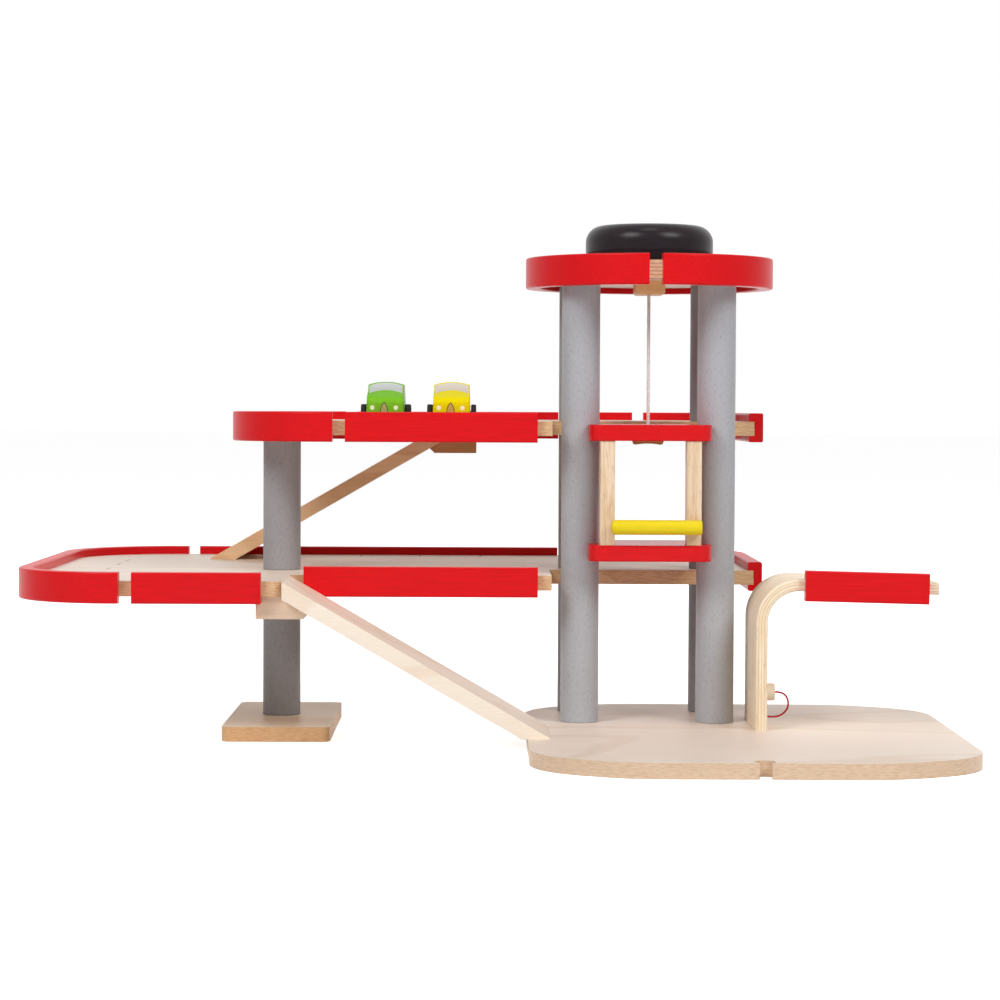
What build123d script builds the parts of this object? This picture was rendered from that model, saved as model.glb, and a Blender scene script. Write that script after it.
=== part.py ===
from build123d import *
import math
import os

# Every length is in millimetres and every angle in degrees.
# The origin is on the floor, midway between the two front columns.
# X runs to the right, Y to the rear and Z up.

# Boards and storeys
board = 13.0
lower_level = 132.2
storey = 136.1
upper_level = lower_level + storey
disc_thickness = 16.5
disc_level = 406.0

# Columns and the dowels in them
column_radius = 17.0
column_half_spacing = 60.5
rear_column_y = 91.0
foot_column_x = -330.2
foot_column_y = 52.0
column_bevel = 0.6
dowel_radius = 5.0
dowel_length = 40.0
dowel_in_board = 10.0
dowel_fit = 0.05

# Base board with its road socket, and the foot plate
base_left = -108.2
base_right = 263.8
base_front = -294.0
base_rear = 150.0
base_bow = 42.0
base_bow_share = 0.575
base_bow_radius = 100.0
base_corner_radius = 78.0
socket_neck = 10.0
socket_head_radius = 8.5
socket_depth = 18.5
foot_plate_x = -328.0
foot_plate_width = 95.0
foot_plate_front = -55.0
foot_plate_rear = 155.0
foot_plate_radius = 7.5

# Guard rails, grooved to grip the edge of a board
rail_thickness = 13.0
rail_height = 26.5
rail_web = 7.8
rail_lip_below = 5.8
rail_round = 1.6
rail_gap = 11.3
standard_rail = 107.2
edge_gap = 0.15

# Lower deck: places of the outer faces of its rails
lower_left = -552.2
lower_front = -140.8
lane_front = -43.8
deck_right = 108.4
lower_rear = 322.0
recess_y = 60.0
deck_end_x = -86.3
lower_jog_x = -316.8
jog_corner_radius = 8.0
lower_front_corner_radius = 93.0
lower_front_corner_end_x = -454.8
lower_front_corner_end_y = -47.0
lower_rear_corner_radius = 105.0
lower_rear_corner_end_x = -442.3
lower_rear_corner_end_y = 202.0
lower_front_rail = 108.8
lane_rail_right_x = -98.7
lane_rail_setback = 12.3
right_corner_radius = 95.0
right_corner_end_x = 12.2
right_corner_end_y = 175.0
short_rail = 62.2

# Upper deck: places of the outer faces of its rails
upper_left = -374.5
upper_rear = 307.8
upper_lane_rear = 210.8
upper_jog_x = -177.0
upper_corner_radius = 94.0
upper_corner_end_x = -279.8
upper_corner_leg = 94.8
upper_front_rail = 169.0
jog_rail_setback = 11.0
upper_rear_long_left_x = -162.0

# Ramps and the blocks that carry their upper ends
ramp_slope = 30.0
ramp_to_rail = 2.0
lower_ramp_nose = 1.0
upper_ramp_nose = 1.0
ramp_side_gap = 0.7
block_height = 19.2
block_before_jog = 22.8
block_after_jog = 22.1
block_width = 83.0

# Top platform
platform_x = 2.5
platform_y = 45.5
column_to_rim = 4.0
rim_height = 27.3
rim_lip_below = 5.3
rim_gap = 12.0

# Winding knob, spool, rope and rope guide
knob_radius = 57.6
knob_low = 423.3
knob_height = 34.6
knob_top_round = 15.0
knob_low_round = 12.0
spindle_radius = 6.0
spindle_fit = 0.08
spindle_in_knob = 24.0
spool_core_radius = 8.2
spool_flange_radius = 12.0
spool_flange = 1.5
spool_low = 396.6
spool_play = 0.3
rope_radius = 1.6
rope_x = 0.0
rope_y = 5.0
rope_turns = 1
rope_turn_pitch = 3.25
first_turn_z = 399.75
rope_lead = 11.0
rope_bend_radius = 9.6
rope_below_guide = 1.5
guide_width = 26.5
guide_front = -19.0
guide_rear = 20.0
guide_low = 393.9
guide_round = 2.5
guide_hole_gap = 0.3

# Lift
lift_half_width = 54.0
lift_front = -48.0
lift_rear = 58.0
lift_plate = 14.2
lift_floor_low = 158.7
lift_roof_low = 264.5
lift_front_radius = 12.0
lift_rear_radius = 5.0
notch_gap = 0.4
post_width = 12.8
post_depth = 25.0
post_inner_x = 31.6
post_front = -47.0
post_tenon = 5.0
post_tenon_shoulder = 2.0
anchor_length = 27.8
anchor_lobe_radius = 3.8
anchor_waist_radius = 2.9
anchor_end = 4.0
anchor_round = 2.4
anchor_pocket_gap = 0.4
rope_hole_gap = 0.4

# Barrier bar on the right post
bar_radius = 6.5
bar_left = -35.2
bar_right = 44.3
bar_z = 189.1
bar_y = -54.5
bar_end_round = 4.0
hinge_x = 38.5
pin_radius = 2.0
pin_fit = 0.06
pin_in_post = 15.0
pin_cover = 2.5

# Fuel canopy
canopy_thickness = 10.4
canopy_front = -74.0
canopy_width = 105.0
canopy_edge_round = 2.8
canopy_leg_x = 95.6
canopy_bend_radius = 33.0
canopy_end_x = 249.2
canopy_rail_left_x = 132.3
canopy_rail_mid_z = 140.0
canopy_droop = 1.3
canopy_tenon = 10.0
tenon_gap = 0.1

# Fuel nozzle and its cord
nozzle_radius = 7.7
nozzle_out = 11.2
nozzle_spigot_radius = 4.5
nozzle_spigot = 8.0
nozzle_fit = 0.3
nozzle_z = 42.2
nozzle_edge = 0.8
cord_radius = 0.83
cord_loop = 22.4
cord_low_z = 21.2
cord_in_leg = 9.4
cord_straight = 2.5

# Cars
green_car_x = -234.1
yellow_car_x = -175.4
car_front = -25.0
car_length = 75.0
car_half_width = 16.6
car_clearance = 3.6
hood_height = 20.0
windscreen_foot_height = 26.5
roof_height = 34.6
wheel_radius = 7.3
wheel_width = 4.5
wheel_gap = 0.6
wheel_edge = 0.8
axle_radius = 1.5
axle_fit = 0.08
front_axle_in = 15.0
rear_axle_in = 17.0
hood_length = 24.0
screen_run = 9.0
boot_run = 14.0
car_side_lean = 0.9
car_roof_bow = 2.6
roof_fall = 1.0
bumper_round = 3.0
hood_round = 7.0
screen_foot_round = 4.0
roof_front_round = 6.0
roof_rear_round = 12.0
boot_round = 9.0

half_turn = 180
quarter_turn = 90

os.makedirs("parts", exist_ok=True)


def save(name, piece):
    export_step(piece, f"parts/{name}.step")


# A flat board from its corners, each given as x, y and corner radius
def flat_board(corners, low, thickness):
    outline = FilletPolyline(*[(x, y) for x, y, r in corners], radius=[r for x, y, r in corners], close=True)
    return Pos(0, 0, low) * extrude(make_face(outline), amount=thickness, dir=(0, 0, 1))


def box_between(x_low, x_high, y_low, y_high, z_low, z_high):
    centre = Pos((x_low + x_high) / 2, (y_low + y_high) / 2, (z_low + z_high) / 2)
    return centre * Box(x_high - x_low, y_high - y_low, z_high - z_low)


def upright_cylinder(x, y, low, high, radius):
    return Pos(x, y, (low + high) / 2) * Cylinder(radius, high - low)


# Dowels, all alike, in every joint between a column and a board
front_spots = [(-column_half_spacing, 0), (column_half_spacing, 0)]
rear_spots = [(-column_half_spacing, rear_column_y), (column_half_spacing, rear_column_y)]
foot_spot = (foot_column_x, foot_column_y)


def dowel_places():
    places = []
    for x, y in front_spots + rear_spots + [foot_spot]:
        places.append((x, y, board - dowel_in_board))
    for level in (lower_level, upper_level):
        for x, y in rear_spots:
            places.append((x, y, level + (board - dowel_length) / 2))
    places.append((*foot_spot, lower_level + (board - dowel_length) / 2))
    places.append((*foot_spot, upper_level + dowel_in_board - dowel_length))
    for x, y in front_spots + rear_spots:
        places.append((x, y, disc_level + dowel_in_board - dowel_length))
    return places


dowels = [upright_cylinder(x, y, low, low + dowel_length, dowel_radius) for x, y, low in dowel_places()]
dowel_holes = [upright_cylinder(x, y, low, low + dowel_length, dowel_radius + dowel_fit)
               for x, y, low in dowel_places()]


def drilled(piece):
    for hole in dowel_holes:
        piece -= hole
    return piece


# Columns
def column(spot, low, high):
    post = upright_cylinder(*spot, low, high, column_radius)
    post = chamfer(post.edges(), column_bevel)
    return drilled(post)


save("front_column_left", column(front_spots[0], board, disc_level))
save("front_column_right", column(front_spots[1], board, disc_level))
rear_lengths = {
    "rear_columns_lower": (board, lower_level),
    "rear_columns_middle": (lower_level + board, upper_level),
    "rear_columns_upper": (upper_level + board, disc_level),
}
for name, (low, high) in rear_lengths.items():
    save(name, Compound(children=[column(spot, low, high) for spot in rear_spots]))
save("foot_column_lower", column(foot_spot, board, lower_level))
save("foot_column_upper", column(foot_spot, lower_level + board, upper_level))
save("column_dowels", Compound(children=dowels))


# Base board, with the road socket and the canopy's mortise
base_centre_x = (base_left + base_right) / 2
base_bow_width = base_bow_share * (base_right - base_centre_x)
canopy_centre_y = canopy_front + canopy_width / 2


def canopy_leg_section(gap):
    size = (canopy_thickness + gap + gap, canopy_width + gap + gap)
    return RectangleRounded(*size, canopy_edge_round + gap)


def base_board():
    corners = [
        (base_left, base_front + base_bow, base_corner_radius),
        (base_centre_x - base_bow_width, base_front, base_bow_radius),
        (base_centre_x + base_bow_width, base_front, base_bow_radius),
        (base_right, base_front + base_bow, base_corner_radius),
        (base_right, base_rear - base_bow, base_corner_radius),
        (base_centre_x + base_bow_width, base_rear, base_bow_radius),
        (base_centre_x - base_bow_width, base_rear, base_bow_radius),
        (base_left, base_rear - base_bow, base_corner_radius),
    ]
    piece = flat_board(corners, 0, board)
    head_y = base_front + socket_depth - socket_head_radius
    piece -= upright_cylinder(base_centre_x, head_y, -board, board + board, socket_head_radius)
    piece -= box_between(base_centre_x - socket_neck / 2, base_centre_x + socket_neck / 2,
                         base_front - socket_depth, head_y, -board, board + board)
    mortise = Pos(canopy_leg_x, canopy_centre_y, board - canopy_tenon) * canopy_leg_section(tenon_gap)
    piece -= extrude(mortise, amount=board, dir=(0, 0, 1))
    return drilled(piece)


save("base_board", base_board())


def foot_plate():
    left = foot_plate_x - foot_plate_width / 2
    right = foot_plate_x + foot_plate_width / 2
    spots = [(left, foot_plate_front), (right, foot_plate_front)]
    spots += [(right, foot_plate_rear), (left, foot_plate_rear)]
    return drilled(flat_board([(x, y, foot_plate_radius) for x, y in spots], 0, board))


save("foot_plate", foot_plate())


# Decks. Each edge lies one rail web inside the outer face of its rails.
inset = rail_web + edge_gap


def lower_deck():
    corners = [
        (lower_left + inset, lower_front + inset, lower_front_corner_radius - inset),
        (lower_jog_x, lower_front + inset, jog_corner_radius),
        (lower_jog_x, lane_front + inset, 0),
        (deck_end_x, lane_front + inset, 0),
        (deck_end_x, recess_y, 0),
        (deck_right - inset, recess_y, 0),
        (deck_right - inset, lower_rear - inset, right_corner_radius - inset),
        (lower_left + inset, lower_rear - inset, lower_rear_corner_radius - inset),
    ]
    return drilled(flat_board(corners, lower_level, board))


def upper_deck():
    corners = [
        (upper_left + inset, lane_front + inset, upper_corner_radius - inset),
        (deck_end_x, lane_front + inset, 0),
        (deck_end_x, recess_y, 0),
        (deck_right - inset, recess_y, 0),
        (deck_right - inset, upper_rear - inset, right_corner_radius - inset),
        (upper_jog_x, upper_rear - inset, jog_corner_radius),
        (upper_jog_x, upper_lane_rear - inset, 0),
        (upper_left + inset, upper_lane_rear - inset, upper_corner_radius - inset),
    ]
    return drilled(flat_board(corners, upper_level, board))


save("lower_deck", lower_deck())
save("upper_deck", upper_deck())


# Rails. The path is the outer face, followed with the outside on the left.
def rail_section(groove, lip_below, height):
    bar = Pos(-rail_thickness / 2, height / 2 - lip_below)
    bar = bar * RectangleRounded(rail_thickness, height, rail_round)
    slot = Pos(-rail_web - rail_thickness / 2, groove / 2) * Rectangle(rail_thickness, groove)
    return bar - slot


def rail(path, level, groove=board, lip_below=rail_lip_below, height=rail_height):
    path = Pos(0, 0, level) * path
    start = path @ 0
    heading = path % 0
    outward = Vector(0, 0, 1).cross(heading)
    section = Plane(origin=start, x_dir=outward, z_dir=heading) * rail_section(groove, lip_below, height)
    return sweep(section, path=path)


def corner_path(first, corner, last, radius):
    return FilletPolyline(first, corner, last, radius=radius)


def right_side_rails(rear, long_rail_left_x, level):
    short_right_x = right_corner_end_x - rail_gap
    short_left_x = short_right_x - short_rail
    return {
        "rear_long": rail(Line((long_rail_left_x, rear), (short_left_x - rail_gap, rear)), level),
        "rear_short": rail(Line((short_left_x, rear), (short_right_x, rear)), level),
        "rear_right_corner": rail(corner_path((right_corner_end_x, rear), (deck_right, rear),
                                              (deck_right, right_corner_end_y), right_corner_radius), level),
        "right_end": rail(Line((deck_right, right_corner_end_y), (deck_right, recess_y)), level),
    }


def lower_rails():
    rails = right_side_rails(lower_rear, lower_rear_corner_end_x + rail_gap, lower_level)
    front_start = lower_front_corner_end_x + rail_gap
    paths = {
        "front_left_corner": corner_path((lower_front_corner_end_x, lower_front), (lower_left, lower_front),
                                         (lower_left, lower_front_corner_end_y), lower_front_corner_radius),
        "left_end": Line((lower_left, lower_front_corner_end_y), (lower_left, lower_rear_corner_end_y)),
        "rear_left_corner": corner_path((lower_left, lower_rear_corner_end_y), (lower_left, lower_rear),
                                        (lower_rear_corner_end_x, lower_rear), lower_rear_corner_radius),
        "front_left": Line((front_start + lower_front_rail, lower_front), (front_start, lower_front)),
        "front_right": Line((lane_rail_right_x, lane_front), (lower_jog_x + lane_rail_setback, lane_front)),
    }
    for name, path in paths.items():
        rails[name] = rail(path, lower_level)
    return rails


def upper_rails():
    rails = right_side_rails(upper_rear, upper_rear_long_left_x, upper_level)
    front_leg_y = lane_front + upper_corner_leg
    rear_leg_y = upper_lane_rear - upper_corner_leg
    after_corner_x = upper_corner_end_x + rail_gap
    rear_left_end_x = upper_jog_x - jog_rail_setback
    paths = {
        "front_left_corner": corner_path((upper_corner_end_x, lane_front), (upper_left, lane_front),
                                         (upper_left, front_leg_y), upper_corner_radius),
        "left_end": Line((upper_left, front_leg_y), (upper_left, rear_leg_y)),
        "rear_left_corner": corner_path((upper_left, rear_leg_y), (upper_left, upper_lane_rear),
                                        (upper_corner_end_x, upper_lane_rear), upper_corner_radius),
        "rear_left": Line((after_corner_x, upper_lane_rear), (rear_left_end_x, upper_lane_rear)),
        "front": Line((after_corner_x + upper_front_rail, lane_front), (after_corner_x, lane_front)),
    }
    for name, path in paths.items():
        rails[name] = rail(path, upper_level)
    return rails


for name, piece in lower_rails().items():
    save(f"lower_rail_{name}", piece)
for name, piece in upper_rails().items():
    save(f"upper_rail_{name}", piece)


# Top platform and its four rim quarters, wide enough to clear the columns
column_reach = max(math.hypot(x - platform_x, y - platform_y) for x, y in front_spots + rear_spots)
platform_radius = column_reach + column_radius + column_to_rim + rail_thickness


def top_platform():
    piece = upright_cylinder(platform_x, platform_y, disc_level, disc_level + disc_thickness,
                             platform_radius - inset)
    bore_radius = spindle_radius + spindle_fit
    piece -= upright_cylinder(platform_x, platform_y, spool_low, knob_low + board, bore_radius)
    return drilled(piece)


save("top_platform", top_platform())

rim_gap_angle = math.degrees(math.asin(rim_gap / 2 / platform_radius))
rim_starts = {
    "front_left": half_turn + quarter_turn - rim_gap_angle,
    "rear_left": half_turn,
    "rear_right": quarter_turn - rim_gap_angle,
    "front_right": 0,
}
for name, start_angle in rim_starts.items():
    arc = CenterArc((platform_x, platform_y), platform_radius, start_angle, rim_gap_angle - quarter_turn)
    save(f"platform_rim_{name}", rail(arc, disc_level, disc_thickness, rim_lip_below, rim_height))


# Ramps. A ramp is drawn in the XZ plane, with its upper end at the deck's jog.
rise_share = math.tan(math.radians(ramp_slope))
ramp_drop = board / math.cos(math.radians(ramp_slope))


def side_profile(points, y_low, y_high):
    face = make_face(Polyline(*[(x, 0, z) for x, z in points], close=True))
    return Pos(0, y_low, 0) * extrude(face, amount=y_high - y_low, dir=(0, 1, 0))


def ramp(jog_x, deck_top, ground, nose, side, y_low):
    nose_x = jog_x + side * (deck_top - ground - nose) / rise_share
    foot_x = jog_x + side * (deck_top - ramp_drop - ground) / rise_share
    points = [(jog_x, deck_top), (nose_x, ground + nose), (nose_x, ground), (foot_x, ground),
              (jog_x, deck_top - ramp_drop)]
    return side_profile(points, y_low, y_low + ramp_width)


# The block carries the deck on one side of the jog and the ramp on the other
def ramp_block(jog_x, deck_low, side, y_low):
    low = deck_low - block_height
    ramp_low = deck_low + board - ramp_drop
    far_x = jog_x + side * block_after_jog
    far_z = ramp_low - block_after_jog * rise_share
    points = [(jog_x - side * block_before_jog, low), (jog_x - side * block_before_jog, deck_low),
              (jog_x, deck_low), (jog_x, ramp_low), (far_x, far_z), (far_x - side * (far_z - low), low)]
    return side_profile(points, y_low, y_low + block_width)


upper_ramp_y = upper_lane_rear + ramp_side_gap
ramp_width = lower_rear - rail_thickness - ramp_to_rail - upper_ramp_y
lower_ramp_y = lane_front - ramp_side_gap - ramp_width
lower_top = lower_level + board
upper_top = upper_level + board
save("ramp_lower", ramp(lower_jog_x, lower_top, board, lower_ramp_nose, 1, lower_ramp_y))
save("ramp_upper", ramp(upper_jog_x, upper_top, lower_top, upper_ramp_nose, -1, upper_ramp_y))
save("ramp_block_lower", ramp_block(lower_jog_x, lower_level, 1, lane_front - ramp_side_gap - block_width))
save("ramp_block_upper", ramp_block(upper_jog_x, upper_level, -1, upper_ramp_y))


# Spool with its spindle, turned in one piece, and the knob fixed on its top
spool_core_low = spool_low + spool_flange


def winch_spool():
    piece = upright_cylinder(platform_x, platform_y, spool_low, spool_core_low, spool_flange_radius)
    core_top = disc_level - spool_play
    piece += upright_cylinder(platform_x, platform_y, spool_core_low, core_top, spool_core_radius)
    piece += upright_cylinder(platform_x, platform_y, spool_low, knob_low + spindle_in_knob, spindle_radius)
    return piece


def winding_knob():
    piece = upright_cylinder(platform_x, platform_y, knob_low, knob_low + knob_height, knob_radius)
    rims = piece.edges().sort_by(Axis.Z)
    piece = fillet(rims[-1], knob_top_round)
    low_rim = piece.edges().filter_by(GeomType.CIRCLE).sort_by(Axis.Z)[0]
    piece = fillet(low_rim, knob_low_round)
    bore = upright_cylinder(platform_x, platform_y, knob_low - board, knob_low + spindle_in_knob,
                            spindle_radius + dowel_fit)
    return piece - bore


save("winch_spool", winch_spool())
save("winding_knob", winding_knob())


# Rope: turns on the spool, then through the guide block and straight down
wound_radius = spool_core_radius + rope_radius
turns = Helix(rope_turn_pitch, rope_turns * rope_turn_pitch, wound_radius)
turns = Pos(platform_x, platform_y, first_turn_z) * (Rot(0, 0, half_turn) * turns)
lead_start = turns @ 1
lead_bend = lead_start + (turns % 1) * rope_lead
lead_over = Vector(rope_x, rope_y, lead_bend.Z)
lead_down = Vector(rope_x, rope_y, guide_low - rope_below_guide)
bend_run_share = 0.45


def bend_radius(before, corner, after):
    first = Vector(*corner) - Vector(*before)
    second = Vector(*after) - Vector(*corner)
    half_bend = math.radians(first.get_angle(second) / 2)
    shorter = min(first.length, second.length)
    return bend_run_share * shorter / math.tan(half_bend)


lead_radii = [bend_radius(lead_start, lead_bend, lead_over), rope_bend_radius]
rope_lead_path = FilletPolyline(lead_start, lead_bend, lead_over, lead_down, radius=lead_radii)


def tube(path, radius):
    return sweep(Plane(origin=path @ 0, z_dir=path % 0) * Circle(radius), path=path)


def wound_rope():
    path = Wire([*turns.edges(), *rope_lead_path.edges()])
    return tube(path, rope_radius)


def rope_guide_block():
    piece = box_between(rope_x - guide_width / 2, rope_x + guide_width / 2, guide_front, guide_rear,
                        guide_low, disc_level)
    low_edges = piece.edges().filter_by(Axis.Y).sort_by(Axis.Z)[:2]
    piece = fillet(low_edges, guide_round)
    return piece - tube(rope_lead_path, rope_radius + guide_hole_gap)


save("wound_rope", wound_rope())
save("rope_guide_block", rope_guide_block())
anchor_z = lift_roof_low
rope_low = anchor_z + anchor_waist_radius
save("lift_rope", upright_cylinder(rope_x, rope_y, rope_low, lead_down.Z, rope_radius))


# Lift plates, notched for the front columns
def lift_plate_at(low):
    corners = [
        (-lift_half_width, lift_front, lift_front_radius),
        (lift_half_width, lift_front, lift_front_radius),
        (lift_half_width, lift_rear, lift_rear_radius),
        (-lift_half_width, lift_rear, lift_rear_radius),
    ]
    piece = flat_board(corners, low, lift_plate)
    for x, y in front_spots:
        piece -= upright_cylinder(x, y, low - board, low + lift_plate + board, column_radius + notch_gap)
    return piece


def post_shape(side, grow, low, high):
    inner = post_inner_x + post_tenon_shoulder - grow
    outer = post_inner_x + post_width - post_tenon_shoulder + grow
    front = post_front + post_tenon_shoulder - grow
    rear = post_front + post_depth - post_tenon_shoulder + grow
    left = min(side * inner, side * outer)
    right = max(side * inner, side * outer)
    return box_between(left, right, front, rear, low, high)


post_low = lift_floor_low + lift_plate
tenon_low = post_low - post_tenon
tenon_high = lift_roof_low + post_tenon


def lift_post(side):
    body = post_shape(side, post_tenon_shoulder, post_low, lift_roof_low)
    return body + post_shape(side, 0, tenon_low, tenon_high)


def tenon_holes():
    return [post_shape(side, dowel_fit, tenon_low, tenon_high) for side in (-1, 1)]


def rope_anchor():
    far = anchor_length - anchor_end
    waist = ThreePointArc((anchor_end, anchor_lobe_radius), (anchor_length / 2, anchor_waist_radius),
                          (far, anchor_lobe_radius))
    left_end = Polyline((0, 0), (0, anchor_lobe_radius), waist @ 0)
    right_end = Polyline(waist @ 1, (anchor_length, anchor_lobe_radius), (anchor_length, 0), (0, 0))
    piece = revolve(make_face(Curve() + [left_end, waist, right_end]), Axis.X)
    rims = piece.edges().filter_by(GeomType.CIRCLE).sort_by(Axis.X)
    piece = fillet([rims[0], rims[-1]], anchor_round)
    return Pos(rope_x - anchor_length / 2, rope_y, anchor_z) * piece


def lift_roof():
    piece = lift_plate_at(lift_roof_low)
    pocket_half = anchor_length / 2 + anchor_pocket_gap
    piece -= box_between(rope_x - pocket_half, rope_x + pocket_half,
                         rope_y - anchor_lobe_radius - anchor_pocket_gap,
                         rope_y + anchor_lobe_radius + anchor_pocket_gap,
                         lift_roof_low - board, lift_roof_low + anchor_lobe_radius)
    piece -= upright_cylinder(rope_x, rope_y, lift_roof_low, lift_roof_low + lift_plate + board,
                              rope_radius + rope_hole_gap)
    for hole in tenon_holes():
        piece -= hole
    return piece


def lift_floor():
    piece = lift_plate_at(lift_floor_low)
    for hole in tenon_holes():
        piece -= hole
    return piece


# The pin is fixed in a blind hole in the bar and turns in the post
def barrier_pin_shape(grow):
    front = bar_y - bar_radius + pin_cover - grow
    length = post_front + pin_in_post + grow - front
    place = Pos(hinge_x, front + length / 2, bar_z)
    return place * (Rot(quarter_turn, 0, 0) * Cylinder(pin_radius + grow, length))


def barrier_bar():
    rod = Rot(0, quarter_turn, 0) * Cylinder(bar_radius, bar_right - bar_left)
    piece = Pos((bar_left + bar_right) / 2, bar_y, bar_z) * rod
    ends = piece.edges().filter_by(GeomType.CIRCLE).sort_by(Axis.X)
    piece = fillet(ends[0], bar_end_round)
    right_end = piece.edges().filter_by(GeomType.CIRCLE).sort_by(Axis.X)[-1]
    piece = chamfer(right_end, wheel_edge)
    return piece - barrier_pin_shape(dowel_fit)


def lift_posts():
    left = lift_post(-1)
    right = lift_post(1) - barrier_pin_shape(pin_fit)
    return Compound(children=[left, right])


save("lift_roof", lift_roof())
save("lift_floor", lift_floor())
save("lift_posts", lift_posts())
save("rope_anchor", rope_anchor())
save("barrier_bar", barrier_bar())
save("barrier_pin", barrier_pin_shape(0))


# Canopy: a bent strip on a leg, with a rail on the front edge of its arm
droop_share = math.tan(math.radians(canopy_droop))


def canopy_mid_z(x):
    return canopy_rail_mid_z - (x - canopy_rail_left_x) * droop_share


canopy_leg_right = canopy_leg_x + canopy_thickness / 2


def canopy_board():
    foot = (canopy_leg_x, canopy_centre_y, board - canopy_tenon)
    elbow = (canopy_leg_x, canopy_centre_y, canopy_mid_z(canopy_leg_x))
    tip = (canopy_end_x, canopy_centre_y, canopy_mid_z(canopy_end_x))
    path = FilletPolyline(foot, elbow, tip, radius=canopy_bend_radius)
    piece = sweep(Pos(*foot) * canopy_leg_section(0), path=path)
    hole_length = canopy_thickness + canopy_thickness
    hole = Pos(canopy_leg_right, canopy_centre_y, nozzle_z) * (
        Rot(0, quarter_turn, 0) * Cylinder(nozzle_spigot_radius + nozzle_fit, hole_length + hole_length))
    cord_hole = Pos(canopy_leg_right, canopy_centre_y, cord_low_z) * (
        Rot(0, quarter_turn, 0) * Cylinder(cord_radius + dowel_fit, cord_in_leg + cord_in_leg))
    return piece - hole - cord_hole


def canopy_rails():
    right_x = canopy_rail_left_x + standard_rail
    below_middle = canopy_thickness / 2 / math.cos(math.radians(canopy_droop))
    low_left = canopy_mid_z(canopy_rail_left_x) - below_middle
    low_right = canopy_mid_z(right_x) - below_middle
    front_y = canopy_front - inset
    path = Line((right_x, front_y, low_right), (canopy_rail_left_x, front_y, low_left))
    return rail(path, 0, canopy_thickness, (rail_height - canopy_thickness) / 2)


# Nozzle: a short peg whose spigot sits in the leg, tied to the leg by a cord
nozzle_face_x = canopy_leg_right + nozzle_out


def fuel_nozzle():
    lying = Rot(0, quarter_turn, 0)
    middle = Pos(canopy_leg_right + nozzle_out / 2, canopy_centre_y, nozzle_z)
    peg = middle * (lying * Cylinder(nozzle_radius, nozzle_out))
    peg = chamfer(peg.edges().filter_by(GeomType.CIRCLE), nozzle_edge)
    spigot = Pos(canopy_leg_right - nozzle_spigot / 2, canopy_centre_y, nozzle_z)
    return peg + spigot * (lying * Cylinder(nozzle_spigot_radius, nozzle_spigot))


# Corners of the cord's loop, as shares of its reach and of half its height
cord_loop_shares = [(0.58, 1.0), (0.98, 0.38), (0.94, -0.46), (0.41, -1.06), (-0.36, -1.12)]


def cord_points():
    half = (nozzle_z - cord_low_z) / 2
    middle_z = (nozzle_z + cord_low_z) / 2
    reach = cord_loop - nozzle_out
    loop = [(nozzle_face_x + across * reach, middle_z + up * half) for across, up in cord_loop_shares]
    points = [(nozzle_face_x, nozzle_z), *loop, (canopy_leg_right + cord_straight, cord_low_z),
              (canopy_leg_right - cord_in_leg, cord_low_z)]
    return [(x, canopy_centre_y, z) for x, z in points]


def fuel_cord():
    points = cord_points()
    radii = [bend_radius(*points[i:i + 3]) for i in range(len(points) - 2)]
    print("cord bend radii", [round(r, 1) for r in radii])
    path = FilletPolyline(*points, radius=radii)
    piece = tube(path, cord_radius)
    print("cord length", round(path.length, 1), "volume share",
          round(piece.volume / (path.length * math.pi * cord_radius ** 2), 3))
    return piece


save("canopy_board", canopy_board())
save("canopy_rails", canopy_rails())
save("fuel_nozzle", fuel_nozzle())
save("fuel_cord", fuel_cord())


# Cars: the body is what a side outline and a front outline have in common
def car_body(x):
    floor_z = upper_level + board
    low = floor_z + car_clearance
    rear = car_front + car_length
    screen_y = car_front + hood_length
    side = [(car_front, low, bumper_round), (car_front, floor_z + hood_height, hood_round),
            (screen_y, floor_z + windscreen_foot_height, screen_foot_round),
            (screen_y + screen_run, floor_z + roof_height, roof_front_round),
            (rear - boot_run, floor_z + roof_height - roof_fall, roof_rear_round),
            (rear, floor_z + hood_height, boot_round), (rear, low, bumper_round)]
    outline = FilletPolyline(*[(0, y, z) for y, z, r in side], radius=[r for y, z, r in side], close=True)
    reach = car_half_width + car_half_width
    solid = Pos(x - car_half_width, 0, 0) * extrude(make_face(outline), amount=reach, dir=(1, 0, 0))
    top = floor_z + roof_height
    shoulder = top - car_roof_bow
    roof_half = car_half_width - car_side_lean
    front_edges = [
        Line((x - car_half_width, 0, low), (x - roof_half, 0, shoulder)),
        ThreePointArc((x - roof_half, 0, shoulder), (x, 0, top), (x + roof_half, 0, shoulder)),
        Line((x + roof_half, 0, shoulder), (x + car_half_width, 0, low)),
        Line((x + car_half_width, 0, low), (x - car_half_width, 0, low)),
    ]
    front = Pos(0, car_front, 0) * extrude(make_face(Curve() + front_edges), amount=car_length, dir=(0, 1, 0))
    body = solid & front
    for y in (car_front + front_axle_in, rear - rear_axle_in):
        body -= Pos(x, y, floor_z + wheel_radius) * (
            Rot(0, quarter_turn, 0) * Cylinder(axle_radius + axle_fit, reach + reach))
    return body


def wheel_set(x, y):
    lying = Rot(0, quarter_turn, 0)
    centre_z = upper_level + board + wheel_radius
    inner = car_half_width + wheel_gap
    piece = Pos(x, y, centre_z) * (lying * Cylinder(axle_radius, inner + inner))
    for side in (-1, 1):
        wheel = lying * Cylinder(wheel_radius, wheel_width)
        wheel = chamfer(wheel.edges().filter_by(GeomType.CIRCLE), wheel_edge)
        piece += Pos(x + side * (inner + wheel_width / 2), y, centre_z) * wheel
    return piece


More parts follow.
